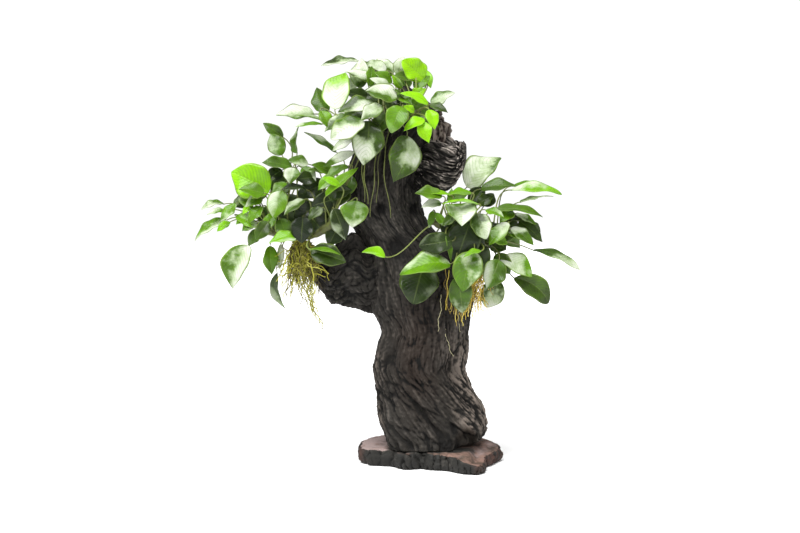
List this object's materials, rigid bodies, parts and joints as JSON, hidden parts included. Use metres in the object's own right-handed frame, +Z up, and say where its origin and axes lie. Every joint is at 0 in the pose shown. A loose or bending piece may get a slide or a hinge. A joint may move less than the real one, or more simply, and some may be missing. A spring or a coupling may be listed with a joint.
{
  "type": "anubias on driftwood and stone",
  "caption": "Small broad-leaved water plants growing on an upright piece of dark driftwood that stands on a flat reddish stone slab.",
  "frame": {"origin": "on the slab's flat underside, below the middle of the trunk", "axes": "+Z up; -Y towards the side that the picture shows; +X to the right in the picture"},
  "size_m": [0.3855, 0.1403, 0.4068],
  "materials": {
    "slab_stone": "matte",
    "driftwood": "matte",
    "plant_stem": "satin",
    "root_fibre": "matte",
    "leaf": "satin"
  },
  "bodies": {
    "root": {"base_slab": "slab_stone", "trunk": "driftwood", "left_limb": "driftwood", "burl": "driftwood", "top_stem": "plant_stem", "left_stem": "plant_stem", "right_stem": "plant_stem", "left_root_tuft": "root_fibre", "right_root_tuft": "root_fibre", "top_leaf_01": "leaf", "top_leaf_02": "leaf", "top_leaf_03": "leaf", "top_leaf_04": "leaf", "top_leaf_05": "leaf", "top_leaf_06": "leaf", "top_leaf_07": "leaf", "top_leaf_08": "leaf", "top_leaf_09": "leaf", "top_leaf_10": "leaf", "top_leaf_11": "leaf", "top_leaf_12": "leaf", "top_leaf_13": "leaf", "top_leaf_14": "leaf", "top_leaf_15": "leaf", "top_leaf_16": "leaf", "left_leaf_01": "leaf", "left_leaf_02": "leaf", "left_leaf_03": "leaf", "left_leaf_04": "leaf", "left_leaf_05": "leaf", "left_leaf_06": "leaf", "left_leaf_07": "leaf", "left_leaf_08": "leaf", "left_leaf_09": "leaf", "left_leaf_10": "leaf", "left_leaf_11": "leaf", "left_leaf_12": "leaf", "left_leaf_13": "leaf", "left_leaf_14": "leaf", "left_leaf_15": "leaf", "left_leaf_16": "leaf", "right_leaf_01": "leaf", "right_leaf_02": "leaf", "right_leaf_03": "leaf", "right_leaf_04": "leaf", "right_leaf_05": "leaf", "right_leaf_06": "leaf", "right_leaf_07": "leaf", "right_leaf_08": "leaf", "right_leaf_09": "leaf", "right_leaf_10": "leaf", "right_leaf_11": "leaf", "right_leaf_12": "leaf", "right_leaf_13": "leaf", "right_leaf_14": "leaf", "right_leaf_15": "leaf", "right_leaf_16": "leaf", "right_leaf_17": "leaf"}
  },
  "joints": []
}
